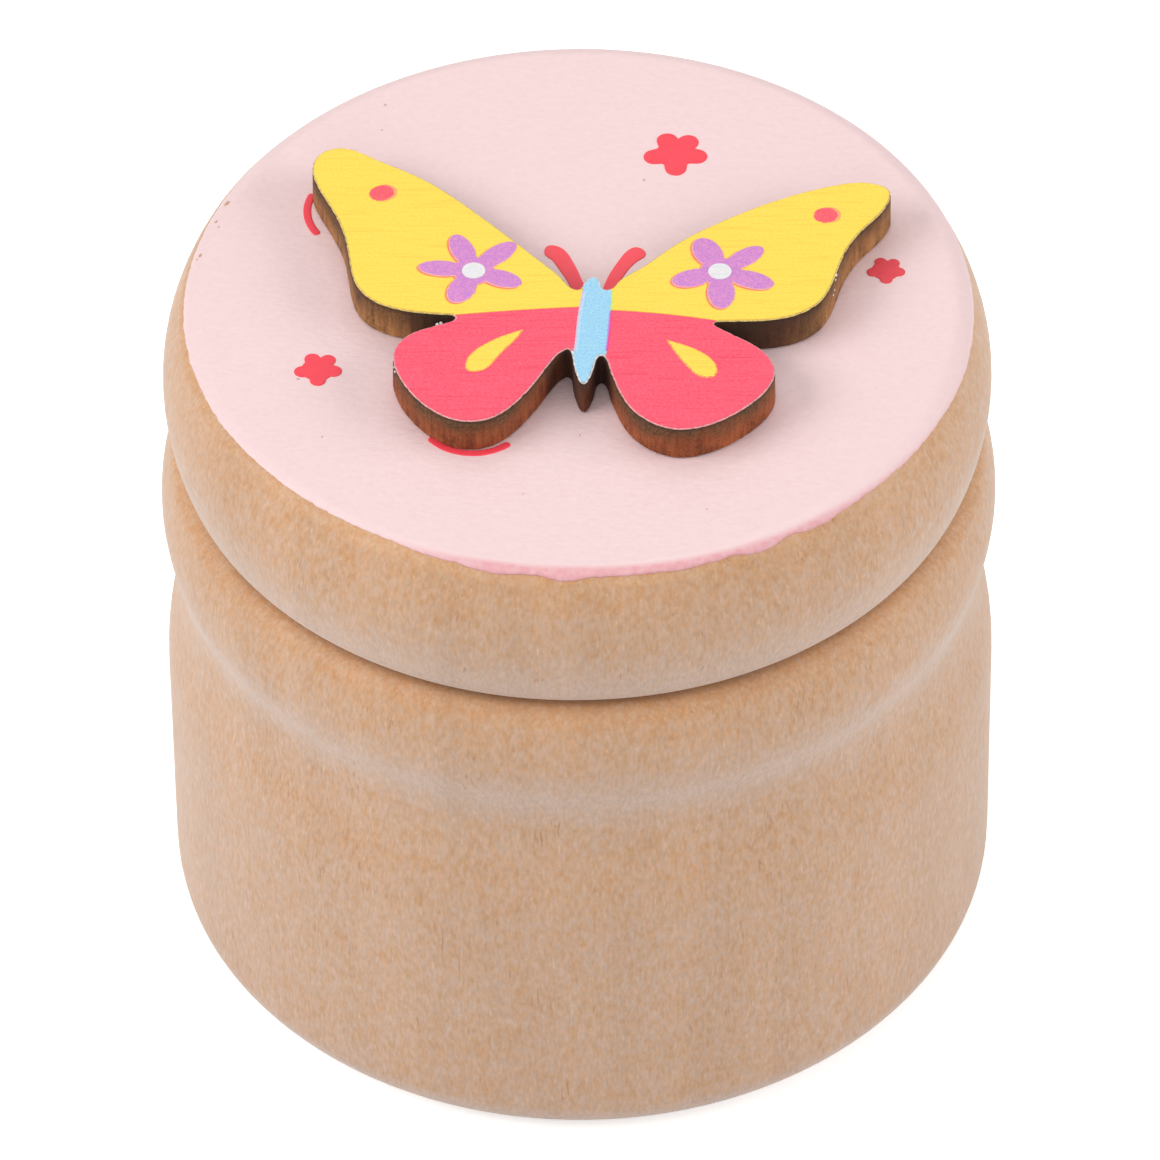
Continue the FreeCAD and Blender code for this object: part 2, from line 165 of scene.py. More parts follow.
def sanded_birch():
    """Birch turned along its grain and sanded: a fuzz of short upright fibres, ochre grains among paler
    rosy ones, faint bands, a few short pores in places and pale flecks. Slopes that face up are painted
    warmer and darker, partly for their end grain and partly as painted shade. Slopes that face down are
    painted greyer and paler, as a painted reflection of the white table below. Fuzz makes grazing views
    paler, hence the sheen."""
    finish = {"Roughness": 0.55, "IOR": 1.5, "Sheen Weight": 0.3, "Sheen Roughness": 0.45}
    material, tree, shader, place = start_material("sanded_birch", finish)
    band_at = add(
        tree, "Mapping", {"Vector": place, "Rotation": (0.02, 0.03, 0.4), "Scale": per_mm(2.6, 9, 34)},
    )
    band = add(tree, "TexNoise", {"Vector": band_at, "Scale": 1.0, "Detail": 2.0})
    mottle_at = add(tree, "Mapping", {"Vector": place, "Scale": per_mm(2.2, 2.2, 3.0)})
    mottle = add(tree, "TexNoise", {"Vector": mottle_at, "Scale": 1.0, "Detail": 2.0})
    grain_at = add(tree, "Mapping", {"Vector": place, "Scale": per_mm(0.4, 0.4, 0.7)})
    grain = add(tree, "TexNoise", {"Vector": grain_at, "Scale": 1.0, "Detail": 3.0, "Roughness": 0.6})
    fibre_at = add(tree, "Mapping", {"Vector": place, "Scale": per_mm(0.17, 0.17, 0.5)})
    fibre = add(tree, "TexNoise", {"Vector": fibre_at, "Scale": 1.0, "Detail": 2.0})
    pore_at = add(tree, "Mapping", {"Vector": place, "Scale": per_mm(0.11, 0.11, 1.2)})
    pore = add(tree, "TexNoise", {"Vector": pore_at, "Scale": 1.0, "Detail": 0.0})
    fleck_at = add(
        tree, "Mapping", {"Vector": place, "Location": (7, 3, 5), "Scale": per_mm(0.13, 0.13, 0.8)},
    )
    fleck = add(tree, "TexNoise", {"Vector": fleck_at, "Scale": 1.0, "Detail": 0.0})

    hue = add(tree, "Math", {0: mottle, 1: 0.2, 2: grain}, operation="MULTIPLY_ADD")
    hue = add(tree, "MapRange", {"Value": hue, "From Min": 0.35, "From Max": 0.85})
    slope = add(tree, "SeparateXYZ", {0: add(tree, "NewGeometry").outputs["Normal"]}).outputs["Z"]
    # Down-facing slopes lose their ochre and look greyer: painted reflection of the white table below
    ochre = add(tree, "MapRange", {"Value": slope, "From Min": -0.3, "From Max": 0.0, "To Min": 0.4})
    hue = add(tree, "Math", {0: hue, 1: ochre}, operation="MULTIPLY")
    wood = add(tree, "Mix", {0: hue, 6: linear("#D9BDAA"), 7: linear("#D3A376")}, data_type="RGBA")
    tone = add(tree, "Math", {0: band, 1: 0.5, 2: -0.25}, operation="MULTIPLY_ADD")
    tone = add(tree, "Math", {0: fibre, 1: tone}, operation="ADD")
    tone = add(
        tree, "MapRange", {"Value": tone, "From Min": 0.2, "From Max": 0.8, "To Min": 0.85, "To Max": 1.13},
    )
    toned = add(tree, "VectorMath", {0: wood.outputs[2], 1: tone}, operation="MULTIPLY")

    # Pores show in patches, where the cut meets the vessels lengthwise
    patch = add(tree, "MapRange", {"Value": mottle, "From Min": 0.56, "From Max": 0.64, "To Max": 0.4})
    pit = add(tree, "MapRange", {"Value": pore, "From Min": 0.66, "From Max": 0.76})
    pit = add(tree, "Math", {0: pit, 1: patch}, operation="MULTIPLY")
    pitted = add(tree, "Mix", {0: pit, 6: toned, 7: linear("#A06A3E")}, data_type="RGBA")
    pale = add(tree, "MapRange", {"Value": fleck, "From Min": 0.76, "From Max": 0.86, "To Max": 0.35})
    pitted = add(tree, "Mix", {0: pale, 6: pitted.outputs[2], 7: linear("#F4E4D4")}, data_type="RGBA")

    # Up-facing slopes painted warmer, partly end grain and partly painted shade; down-facing ones painted
    # cool and pale, a painted reflection of the white table
    warm = add(tree, "MapRange", {"Value": slope, "From Min": -0.3, "From Max": 0.6})
    end_grain_and_painted_light = add(tree, "Mix", {0: warm, 6: linear("#F8FAFF"), 7: linear("#F2E2CB")}, data_type="RGBA")
    colour = add(tree, "VectorMath", {0: pitted.outputs[2], 1: end_grain_and_painted_light.outputs[2]}, operation="MULTIPLY")

    # Painted shade in the joint between the lid and the cup: a dark line where the crevice lies in shadow
    spot = add(tree, "SeparateXYZ", {0: place})
    rise = add(tree, "Math", {0: spot.outputs["Z"], 1: -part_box("lid")[0].z}, operation="ADD")
    rise = add(tree, "Math", {0: rise}, operation="ABSOLUTE")
    near = add(tree, "MapRange", {"Value": rise, "From Max": 0.1 * MM, "To Min": 0.3, "To Max": 0.0})
    flat = add(tree, "CombineXYZ", {0: spot.outputs["X"], 1: spot.outputs["Y"]})
    reach = add(tree, "VectorMath", {0: flat}, operation="LENGTH").outputs["Value"]
    outside = add(tree, "MapRange", {"Value": reach, "From Min": 19.2 * MM, "From Max": 19.8 * MM})
    painted_joint_shade = add(tree, "Math", {0: near, 1: outside}, operation="MULTIPLY")
    joint_shaded = add(tree, "Mix", {0: painted_joint_shade, 6: colour.outputs[0], 7: linear("#5A3A26")}, data_type="RGBA")
    tree.links.new(joint_shaded.outputs[2], shader.inputs["Base Color"])
    height = add(tree, "Math", {0: fibre, 1: pit}, operation="SUBTRACT")
    bump = add(tree, "Bump", {"Height": height, "Strength": 0.3, "Distance": 0.04 * MM})
    tree.links.new(bump.outputs[0], shader.inputs["Normal"])
    return material


def rose_lacquer():
    """Thin satin lacquer rolled on wood: even pale rose with the faintest stipple. Where it ran over
    the edge it lies thicker and is painted deeper, partly for its thickness and partly as painted shade
    on the rounding that faces the front."""
    material, tree, shader, place = start_material("rose_lacquer", {"Roughness": 0.5, "IOR": 1.48})
    cloud_at = add(tree, "Mapping", {"Vector": place, "Scale": per_mm(0.35, 0.35, 0.35)})
    cloud = add(tree, "TexNoise", {"Vector": cloud_at, "Scale": 1.0, "Detail": 3.0})
    stipple_at = add(
        tree, "Mapping", {"Vector": place, "Rotation": (0, 0, 0.5), "Scale": per_mm(0.5, 0.3, 0.3)},
    )
    stipple = add(tree, "TexNoise", {"Vector": stipple_at, "Scale": 1.0, "Detail": 3.0})
    face = add(tree, "Mix", {0: cloud, 6: linear("#EBCCCC"), 7: linear("#F3D8D8")}, data_type="RGBA")
    # Deeper rose where the lacquer lies thick over the edge: partly its thickness, partly painted shade on
    # the rounding that faces the front
    thick = add(tree, "Attribute", attribute_name="thick").outputs["Fac"]
    uneven = add(
        tree, "MapRange", {"Value": cloud, "From Min": 0.3, "From Max": 0.7, "To Min": 0.65, "To Max": 1.15},
    )
    thick = add(tree, "Math", {0: thick, 1: uneven}, operation="MULTIPLY")
    colour = add(tree, "Mix", {0: thick, 6: face.outputs[2], 7: linear("#E3A4A9")}, data_type="RGBA")
    tree.links.new(colour.outputs[2], shader.inputs["Base Color"])
    bump = add(tree, "Bump", {"Height": stipple, "Strength": 0.5, "Distance": 0.08 * MM})
    tree.links.new(bump.outputs[0], shader.inputs["Normal"])
    return material


def print_ink(name, code, dot_code, dot_share, line_code, under=None):
    """Ink jetted on planed wood: a bright film that keeps the wood's fibres as fine lines along the
    wings, and shows its coloured dots close up. Towards its edge it thins out into dots over the ink
    under it. The dots are drawn coarser than real, to show."""
    material, tree, shader, place = start_material(name, {"Roughness": 0.55, "IOR": 1.45})
    dot_at = add(tree, "Mapping", {"Vector": place, "Scale": per_mm(0.14, 0.14, 0.3)})
    dot = add(tree, "TexNoise", {"Vector": dot_at, "Scale": 1.0, "Detail": 2.0})
    dots = add(tree, "MapRange", {"Value": dot, "From Min": 0.35, "From Max": 0.65, "To Max": dot_share})
    along = (0, 0, -FIGURE_TURN)
    line_at = add(tree, "Mapping", {"Vector": place, "Rotation": along, "Scale": per_mm(3.2, 0.13, 0.3)})
    line = add(tree, "TexNoise", {"Vector": line_at, "Scale": 1.0, "Detail": 2.0})
    lines = add(tree, "MapRange", {"Value": line, "From Min": 0.5, "From Max": 0.75, "To Max": 0.55})
    speckled = add(tree, "Mix", {0: dots, 6: linear(code), 7: linear(dot_code)}, data_type="RGBA")
    colour = add(tree, "Mix", {0: lines, 6: speckled.outputs[2], 7: linear(line_code)}, data_type="RGBA")
    if under:
        edge = add(tree, "Attribute", attribute_name="edge").outputs["Fac"]
        cover = add(tree, "Math", {0: dot, 1: 1.6, 2: edge}, operation="MULTIPLY_ADD")
        cover = add(tree, "MapRange", {"Value": cover, "From Min": 0.75, "From Max": 1.25})
        colour = add(tree, "Mix", {0: cover, 6: linear(under), 7: colour.outputs[2]}, data_type="RGBA")
    tree.links.new(colour.outputs[2], shader.inputs["Base Color"])
    bump = add(tree, "Bump", {"Height": line, "Strength": 0.3, "Distance": 0.02 * MM})
    tree.links.new(bump.outputs[0], shader.inputs["Normal"])
    return material


def stained_ground():
    """White ground of the print, a hair line round the inks: stained cream beside the yellow ink and
    rose beside the pink, and crumbled by the cutting beam."""
    material, tree, shader, place = start_material("stained_ground", {"Roughness": 0.6, "IOR": 1.45})
    crumb_at = add(tree, "Mapping", {"Vector": place, "Scale": per_mm(0.16, 0.16, 0.16)})
    crumb = add(tree, "TexNoise", {"Vector": crumb_at, "Scale": 1.0, "Detail": 2.0})
    cream = add(tree, "Attribute", attribute_name="cream").outputs["Fac"]
    rose = add(tree, "Attribute", attribute_name="rose").outputs["Fac"]
    creamy = add(tree, "Mix", {0: cream, 6: linear("#E8ECEC"), 7: linear("#E2CC74")}, data_type="RGBA")
    rosy = add(tree, "Mix", {0: rose, 6: creamy.outputs[2], 7: linear("#EFA9B0")}, data_type="RGBA")
    worn = add(tree, "MapRange", {"Value": crumb, "From Min": 0.42, "From Max": 0.62, "To Max": 0.55})
    colour = add(tree, "Mix", {0: worn, 6: rosy.outputs[2], 7: linear("#A8785E")}, data_type="RGBA")
    tree.links.new(colour.outputs[2], shader.inputs["Base Color"])
    return material


def screen_print(name, deep, bright):
    """Opaque red screen ink laid thick on the lacquer: slightly cloudy, with a soft gloss."""
    material, tree, shader, place = start_material(name, {"Roughness": 0.5, "IOR": 1.48})
    cloud_at = add(tree, "Mapping", {"Vector": place, "Scale": per_mm(0.45, 0.45, 0.45)})
    cloud = add(tree, "TexNoise", {"Vector": cloud_at, "Scale": 1.0, "Detail": 3.0})
    colour = add(tree, "Mix", {0: cloud, 6: linear(deep), 7: linear(bright)}, data_type="RGBA")
    tree.links.new(colour.outputs[2], shader.inputs["Base Color"])
    return material


def charred_plywood(low, high):
    """Laser-cut plywood: the beam burns its edge to toffee brown, more olive on the forewings and more
    orange on the hindwings, and smoke soots its upper half in blotches with pale ash in them, most on its
    left. Faint upright streaks mark the beam's path. Notches and a few listed places are painted nearly
    black, partly char where the beam dwelt and partly painted shade."""
    material, tree, shader, place = start_material("charred_plywood", {"Roughness": 0.8, "IOR": 1.45})
    spot = add(tree, "SeparateXYZ", {0: place}).outputs
    rise = add(tree, "MapRange", {"Value": spot["Z"], "From Min": low, "From Max": high})
    patch_at = add(tree, "Mapping", {"Vector": place, "Scale": per_mm(1.4, 1.4, 1.4)})
    patch = add(tree, "TexNoise", {"Vector": patch_at, "Scale": 1.0, "Detail": 4.0, "Roughness": 0.6})
    streak_at = add(tree, "Mapping", {"Vector": place, "Scale": per_mm(0.3, 0.3, 2.5)})
    streak = add(tree, "TexNoise", {"Vector": streak_at, "Scale": 1.0, "Detail": 2.0})
    grit_at = add(tree, "Mapping", {"Vector": place, "Scale": per_mm(0.16, 0.16, 0.16)})
    grit = add(tree, "TexNoise", {"Vector": grit_at, "Scale": 1.0, "Detail": 3.0, "Roughness": 0.6})

    facing = add(tree, "SeparateXYZ", {0: add(tree, "NewGeometry").outputs["Normal"]})
    soot = add(tree, "Math", {0: facing.outputs["X"], 1: -0.08, 2: rise}, operation="MULTIPLY_ADD")
    soot = add(tree, "Math", {0: patch, 1: 1.4, 2: soot}, operation="MULTIPLY_ADD")
    soot = add(tree, "Math", {0: grit, 1: 0.7, 2: soot}, operation="MULTIPLY_ADD")
    soot = add(tree, "MapRange", {"Value": soot, "From Min": 1.45, "From Max": 2.0})
    burn = add(tree, "Math", {0: streak, 1: 0.8, 2: patch}, operation="MULTIPLY_ADD")
    burn = add(tree, "Math", {0: grit, 1: 0.8, 2: burn}, operation="MULTIPLY_ADD")
    burn = add(tree, "MapRange", {"Value": burn, "From Min": 1.0, "From Max": 1.6})
    orange = add(tree, "Mix", {0: burn, 6: linear("#642E12"), 7: linear("#AA5C32")}, data_type="RGBA")
    olive = add(tree, "Mix", {0: burn, 6: linear("#664320"), 7: linear("#B8824F")}, data_type="RGBA")
    back = add(tree, "Math", {0: patch, 1: 3 * MM, 2: spot["Y"]}, operation="MULTIPLY_ADD")
    back = add(tree, "MapRange", {"Value": back, "From Min": -4.0 * MM, "From Max": -1.5 * MM})
    toffee = add(tree, "Mix", {0: back, 6: orange.outputs[2], 7: olive.outputs[2]}, data_type="RGBA")
    ash = add(tree, "MapRange", {"Value": grit, "From Min": 0.35, "From Max": 0.7})
    ash = add(tree, "Mix", {0: ash, 6: linear("#3B2615"), 7: linear("#7B5333")}, data_type="RGBA")
    sooty = add(tree, "Mix", {0: soot, 6: toffee.outputs[2], 7: ash.outputs[2]}, data_type="RGBA")
    rim = add(tree, "MapRange", {"Value": rise, "From Min": 0.86, "From Max": 0.96, "To Max": 0.65})
    rimmed = add(tree, "Mix", {0: rim, 6: sooty.outputs[2], 7: linear("#3C2A19")}, data_type="RGBA")
    # Nearly black in the notches and listed places: partly char, partly painted shade
    char = add(tree, "Attribute", attribute_name="char").outputs["Fac"]
    colour = add(tree, "Mix", {0: char, 6: rimmed.outputs[2], 7: linear("#321A0E")}, data_type="RGBA")
    tree.links.new(colour.outputs[2], shader.inputs["Base Color"])
    height = add(tree, "Math", {0: streak, 1: grit}, operation="ADD")
    bump = add(tree, "Bump", {"Height": height, "Strength": 0.8, "Distance": 0.06 * MM})
    tree.links.new(bump.outputs[0], shader.inputs["Normal"])
    return material


def set_glue():
    """Clear craft glue, set: a yellowish gloss that only shows with the figure taken off."""
    material, tree, shader, place = start_material("set_glue", {"Roughness": 0.2, "IOR": 1.47})
    cloud_at = add(tree, "Mapping", {"Vector": place, "Scale": per_mm(0.8, 0.8, 0.8)})
    cloud = add(tree, "TexNoise", {"Vector": cloud_at, "Scale": 1.0, "Detail": 2.0})
    colour = add(tree, "Mix", {0: cloud, 6: linear("#DCCBA8"), 7: linear("#EADFC6")}, data_type="RGBA")
    tree.links.new(colour.outputs[2], shader.inputs["Base Color"])
    return material


def dust_brown():
    """Sawdust and lint caught in wet lacquer: dull brown-pink specks."""
    material, tree, shader, place = start_material("dust_brown", {"Roughness": 0.8, "IOR": 1.4})
    cloud_at = add(tree, "Mapping", {"Vector": place, "Scale": per_mm(0.1, 0.1, 0.1)})
    cloud = add(tree, "TexNoise", {"Vector": cloud_at, "Scale": 1.0, "Detail": 2.0})
    colour = add(tree, "Mix", {0: cloud, 6: linear("#C09890"), 7: linear("#DCB8B2")}, data_type="RGBA")
    tree.links.new(colour.outputs[2], shader.inputs["Base Color"])
    return material


def top_outline(node):
    """Points round the upper face of a flat CAD node, anticlockwise."""
    shape = bmesh.new()
    shape.from_mesh(nodes[node].data)
    bmesh.ops.remove_doubles(shape, verts=shape.verts, dist=SAME)
    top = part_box(node)[1].z
    bmesh.ops.delete(shape, geom=[v for v in shape.verts if v.co.z < top - SAME], context="VERTS")
    start = next(edge for edge in shape.edges if edge.is_boundary).verts[0]
    points = []
    vertex, arrived = start, None
    while not points or vertex is not start:
        points.append(vertex.co.copy())
        arrived = next(e for e in vertex.link_edges if e.is_boundary and e is not arrived)
        vertex = arrived.other_vert(vertex)
    shape.free()
    area = sum(a.x * b.y - b.x * a.y for a, b in zip(points, points[1:] + points[:1]))
    return points if area > 0 else points[::-1]


def resampled(points, step):
    """The same closed line with evenly spaced points."""
    loop = points + points[:1]
    runs = [(b - a).length for a, b in zip(loop, loop[1:])]
    count = round(sum(runs) / step)
    spacing = sum(runs) / count
    even, index, passed = [], 0, 0.0
    for i in range(count):
        while passed + runs[index] < i * spacing:
            passed += runs[index]
            index += 1
        even.append(loop[index].lerp(loop[index + 1], (i * spacing - passed) / runs[index]))
    return even


def inward(points):
    """Level unit vectors that point into an anticlockwise closed line."""
    ahead = points[1:] + points[:1]
    behind = points[-1:] + points[:-1]
    along = [(a - b).normalized() for a, b in zip(ahead, behind)]
    return [Vector((-t.y, t.x, 0)) for t in along]


def level_ring(points, insets, height):
    """Closed line drawn in by its own inset at each point, at one height."""
    ring = [p + n * inset for p, n, inset in zip(points, inward(points), insets)]
    return [Vector((p.x, p.y, height)) for p in ring]


def add_rings(shape, rings, **marks):
    """Add a closed body of rings with as many points each, capped at the first and the last.
    A mark names a value for every point of every ring, for the material to read."""
    known = shape.verts.layers.float
    layers = {name: known.get(name) or known.new(name) for name in marks}
    rows = [[shape.verts.new(point) for point in ring] for ring in rings]
    for low, high in zip(rows, rows[1:]):
        for i in range(len(low)):
            j = (i + 1) % len(low)
            shape.faces.new((low[i], low[j], high[j], high[i]))
    caps = [shape.faces.new(rows[0][::-1]), shape.faces.new(rows[-1])]
    shape.normal_update()
    bmesh.ops.triangulate(shape, faces=caps, ngon_method="EAR_CLIP")
    for name, layer in layers.items():
        for row, values in zip(rows, marks[name]):
            for vertex, value in zip(row, values):
                vertex[layer] = value


def add_piece(name, shape, material, slot, stands_for=(), crease=40):
    """Make a shape a named piece that rides the lid, smooth except at creases."""
    mesh = bpy.data.meshes.new(name)
    shape.to_mesh(mesh)
    shape.free()
    mesh.materials.append(material)
    mesh.shade_smooth()
    mesh.set_sharp_from_angle(angle=math.radians(crease))
    piece = bpy.data.objects.new(name, mesh)
    bpy.context.scene.collection.objects.link(piece)
    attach(piece, "lid")
    if stands_for:
        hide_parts(*stands_for)


def room_inside(points):
    """Radius at each point of the largest circle that touches it from inside a closed line."""
    radii = []
    for point, normal in zip(points, inward(points)):
        chords = [other - point for other in points]
        ahead = [chord for chord in chords if chord.dot(normal) > SAME * MM]
        radii.append(min(chord.length_squared / (2 * chord.dot(normal)) for chord in ahead))
    return radii


def add_film(shape, outline, low, high, rounding):
    """Add a thin film on an outline, with its upper edge rounded over this width, and mark how far in
    from its edge each point lies."""
    rise = high - low
    # Shares of the rounding's width and of the film's height
    steps = [(0.0, 0.0), (0.0, 0.35), (0.12, 0.7), (0.4, 0.92), (1.0, 1.0)]
    room_used = 0.6
    widths = [min(rounding, room_used * room) for room in room_inside(outline)]
    rings = [level_ring(outline, [width * s for width in widths], low + rise * h) for s, h in steps]
    add_rings(shape, rings, edge=[[width * s / rounding for width in widths] for s, h in steps])


def blob(place, radius, dice):
    """Small uneven round outline."""
    count = 12
    points = []
    for i in range(count):
        angle = i * math.tau / count
        reach = radius * dice.uniform(0.7, 1.15)
        points.append(place + Vector((math.cos(angle), math.sin(angle), 0)) * reach)
    return points


def outer_side(node):
    """Outside of a turned CAD node from the edge of its top down, as radius and height."""
    seam = {(round(v.co.x, 7), round(v.co.z, 7)) for v in nodes[node].data.vertices if abs(v.co.y) < SAME}
    top = max(z for r, z in seam)
    edge = max(r for r, z in seam if z > top - SAME)
    return sorted((p for p in seam if p[0] > edge - SAME), key=lambda p: -p[1])


def lacquer_at(direction):
    """How far the lacquer runs over the edge of the lid's face in this direction, in metres and ragged
    at its end, how thick it lies there, and how far past the edge its deeper colour starts, which is
    partly thicker lacquer and partly painted shade."""
    first = LACQUER_RUNS[0]
    stations = LACQUER_RUNS + [(first[0] + 360, first[1], first[2])]
    degrees = math.degrees(direction)
    spoke = Vector((math.cos(direction), math.sin(direction), 0))
    ragged = sum(noise.noise(spoke * waves) * reach for waves, reach in LACQUER_RAGS)
    before, after = next((a, b) for a, b in zip(stations, stations[1:]) if degrees <= b[0])
    t = (degrees - before[0]) / (after[0] - before[0])
    ease = t * t * (3 - 2 * t)
    run, depth = [p + (q - p) * ease for p, q in zip(before[1:], after[1:])]
    start = DEEP_TINT_START + DEEP_TINT_RETREAT * max(0, abs(degrees - DEEP_TINT_FRONT) - DEEP_TINT_HALF_STRETCH)
    return (run + ragged) * MM, depth, start * MM


def lacquer_level(thickness, distance, depth):
    """Thickness of the lacquer at a distance past the edge: thinner over it where it hasn't run."""
    over = min(1.0, max(0.0, distance / (THINNING_REACH * MM)))
    return thickness * (1 - (1 - THINNED_SHARE) * (1 - depth) * over)


def skin_of(side):
    """Function that gives the point this much proud of a turned side, in a direction and at a distance
    past the edge of its top."""
    edge, top = side[0]
    places = [0.0]
    for (r0, z0), (r1, z1) in zip(side, side[1:]):
        places.append(places[-1] + math.hypot(r1 - r0, z1 - z0))
    slopes = [math.atan2(a[1] - b[1], b[0] - a[0]) for a, b in zip(side, side[1:])]
    leans = [0.0] + [(a + b) / 2 for a, b in zip(slopes, slopes[1:])] + slopes[-1:]

    def skin_point(direction, distance, proud):
        radius, height, lean = edge + distance, top, 0.0
        if distance > 0:
            i = next(i for i, place in enumerate(places) if place > distance) - 1
            t = (distance - places[i]) / (places[i + 1] - places[i])
            rows = zip(side[i] + (leans[i],), side[i + 1] + (leans[i + 1],))
            radius, height, lean = [a + (b - a) * t for a, b in rows]
        radius += math.sin(lean) * proud
        height += math.cos(lean) * proud
        return Vector((radius * math.cos(direction), radius * math.sin(direction), height))

    return skin_point


def make_lacquer(side):
    """Lacquer on the lid's face, which runs unevenly over the edge, thickest in front."""
    edge, top = side[0]
    skin_point = skin_of(side)
    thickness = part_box("lid_coat")[1].z - top
    sunk = 0.01 * MM
    rim = 0.15 * MM
    count = 1440
    directions = [math.radians(-180 + 360 / count * i) for i in range(count)]
    lacquer = [lacquer_at(direction) for direction in directions]
    plain = [0.0] * count

    def face_ring(radius, height):
        return [Vector((radius * math.cos(d), radius * math.sin(d), height)) for d in directions]

    inner = [0.03 * edge, 0.5 * edge, 0.9 * edge, 0.98 * edge]
    # Shares of the way from the rim of the face to the end of the run, closer together where it bends
    shares = [0.0, 0.08, 0.14, 0.2, 0.26, 0.32, 0.4, 0.5, 0.6, 0.7, 0.78, 0.85, 0.9, 0.94, 0.97, 0.99, 1.0]
    end_rounding = 0.2
    rings = [face_ring(radius, top - sunk) for radius in inner]
    thick = [plain for radius in inner]
    for share in shares:
        ends = [share * (run + rim) - rim for run, depth, start in lacquer]
        rings.append([skin_point(direction, end, -sunk) for direction, end in zip(directions, ends)])
        thick.append(plain)
    for share in reversed(shares):
        bead = math.sqrt(max(0.0, 1 - max(0.0, (share - 1 + end_rounding) / end_rounding) ** 2))
        ring, depths = [], []
        for direction, (run, depth, start) in zip(directions, lacquer):
            distance = share * (run + rim) - rim
            ring.append(skin_point(direction, distance, lacquer_level(thickness, distance, depth) * bead))
            # Deeper colour from here on: thicker lacquer, and partly painted shade in front
            depths.append(depth * min(1.0, max(0.0, (distance - start) / (DEEP_TINT_RAMP * MM))))
        rings.append(ring)
        thick.append(depths)
    rings += [face_ring(radius, top + thickness) for radius in reversed(inner)]
    thick += [plain for radius in inner]
    shape = bmesh.new()
    add_rings(shape, rings, thick=thick)
    add_piece("lacquer_skin", shape, rose_lacquer(), "pink_lacquer", ["lid_coat"], crease=60)


def make_chips(side, birch):
    """Chips in the lacquer's edge, where the wood shows: low flakes, longer round the lid than down it."""
    edge, top = side[0]
    skin_point = skin_of(side)
    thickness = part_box("lid_coat")[1].z - top
    squash = 0.6
    dice = random.Random(5)
    shape = bmesh.new()
    for degrees, distance, radius in CHIPS:
        depth = lacquer_at(math.radians(degrees))[1]
        spots = blob(Vector((0, 0, 0)), radius * MM, dice)
        rings = []
        for spread, rise in ((1.0, -0.02), (0.95, 0.006), (0.7, 0.012)):
            ring = []
            for spot in spots:
                direction = math.radians(degrees) + spot.x * spread / edge
                reach = distance * MM + spot.y * spread * squash
                ring.append(skin_point(direction, reach, lacquer_level(thickness, reach, depth) + rise * MM))
            rings.append(ring[::-1])
        add_rings(shape, rings)
    add_piece("lacquer_chips", shape, birch, "turned_wood", crease=70)


def make_dust():
    """Specks of dust in the lacquer."""
    dice = random.Random(3)
    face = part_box("lid_coat")[1].z
    sunk = 0.01 * MM
    proud = 0.02 * MM
    shape = bmesh.new()
    for x, y, radius in DUST:
        speck = blob(Vector((x, y, 0)) * MM, radius * MM, dice)
        add_film(shape, speck, face - sunk, face + proud, proud)
    add_piece("lacquer_dust", shape, dust_brown(), "pink_lacquer", crease=70)


def notch_depth(points, reach):
    """How sharply a closed line turns back at each point, from 0 to 1, spread over a reach of points."""
    sharp_turn = 1.6
    gain = 1.4
    count = len(points)
    turns = []
    for i in range(count):
        ahead = points[(i + reach) % count] - points[i]
        behind = points[i] - points[(i - reach) % count]
        turn = math.atan2(ahead.x * behind.y - ahead.y * behind.x, ahead.dot(behind))
        turns.append(max(0.0, turn / sharp_turn))
    spread = range(-reach, reach + 1)
    sums = [sum(turns[(i + s) % count] for s in spread) for i in range(count)]
    return [min(1.0, gain * total / len(spread)) for total in sums]


def soot_and_shade_at(point):
    """Darkening at a place on the butterfly's edge, from 0 to 1: partly soot, partly painted shade."""
    amounts = [1 - (point - Vector((x * MM, y * MM, point.z))).length / (reach * MM) for x, y, reach in SOOT_AND_SHADE]
    return SOOT_AND_SHADE_DARKEST * max(0.0, *amounts) ** SOOT_AND_SHADE_FADE


def make_butterfly():
    """Laser-cut plate of the butterfly: its edge is finely rippled by the beam and widens downwards."""
    low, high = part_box("butterfly")
    step = 0.1 * MM
    outline = resampled(top_outline("butterfly"), step)
    ripple_pitch = 0.22 * MM
    ripple = 0.018 * MM
    ripple_stretch = 12
    flare = 0.03 * MM
    softening = 0.05 * MM
    softened_share = 0.05
    notch_reach = 0.6 * MM
    levels = [0.0, 0.02, 0.06, 0.2, 0.35, 0.5, 0.65, 0.8, 0.92, 0.97, 1.0]
    rings = []
    for level in levels:
        height = low.z + (high.z - low.z) * level
        rounding = softening * max(0.0, 1 - min(level, 1 - level) / softened_share) ** 2
        insets = []
        for p in outline:
            at = Vector((p.x / ripple_pitch, p.y / ripple_pitch, height / (ripple_stretch * ripple_pitch)))
            insets.append(rounding - flare * (1 - level) - ripple * noise.noise(at) * (level < 1))
        rings.append(level_ring(outline, insets, height))
    notches = notch_depth(outline, round(notch_reach / step))
    # How dark the edge is painted: char and soot, partly painted shade in the notches
    char = [max(notch, soot_and_shade_at(point)) for notch, point in zip(notches, outline)]
    shape = bmesh.new()
    add_rings(shape, rings, char=[char] * len(rings))
    add_piece("butterfly_plate", shape, charred_plywood(low.z, high.z), "burnt_plywood", ["butterfly"])


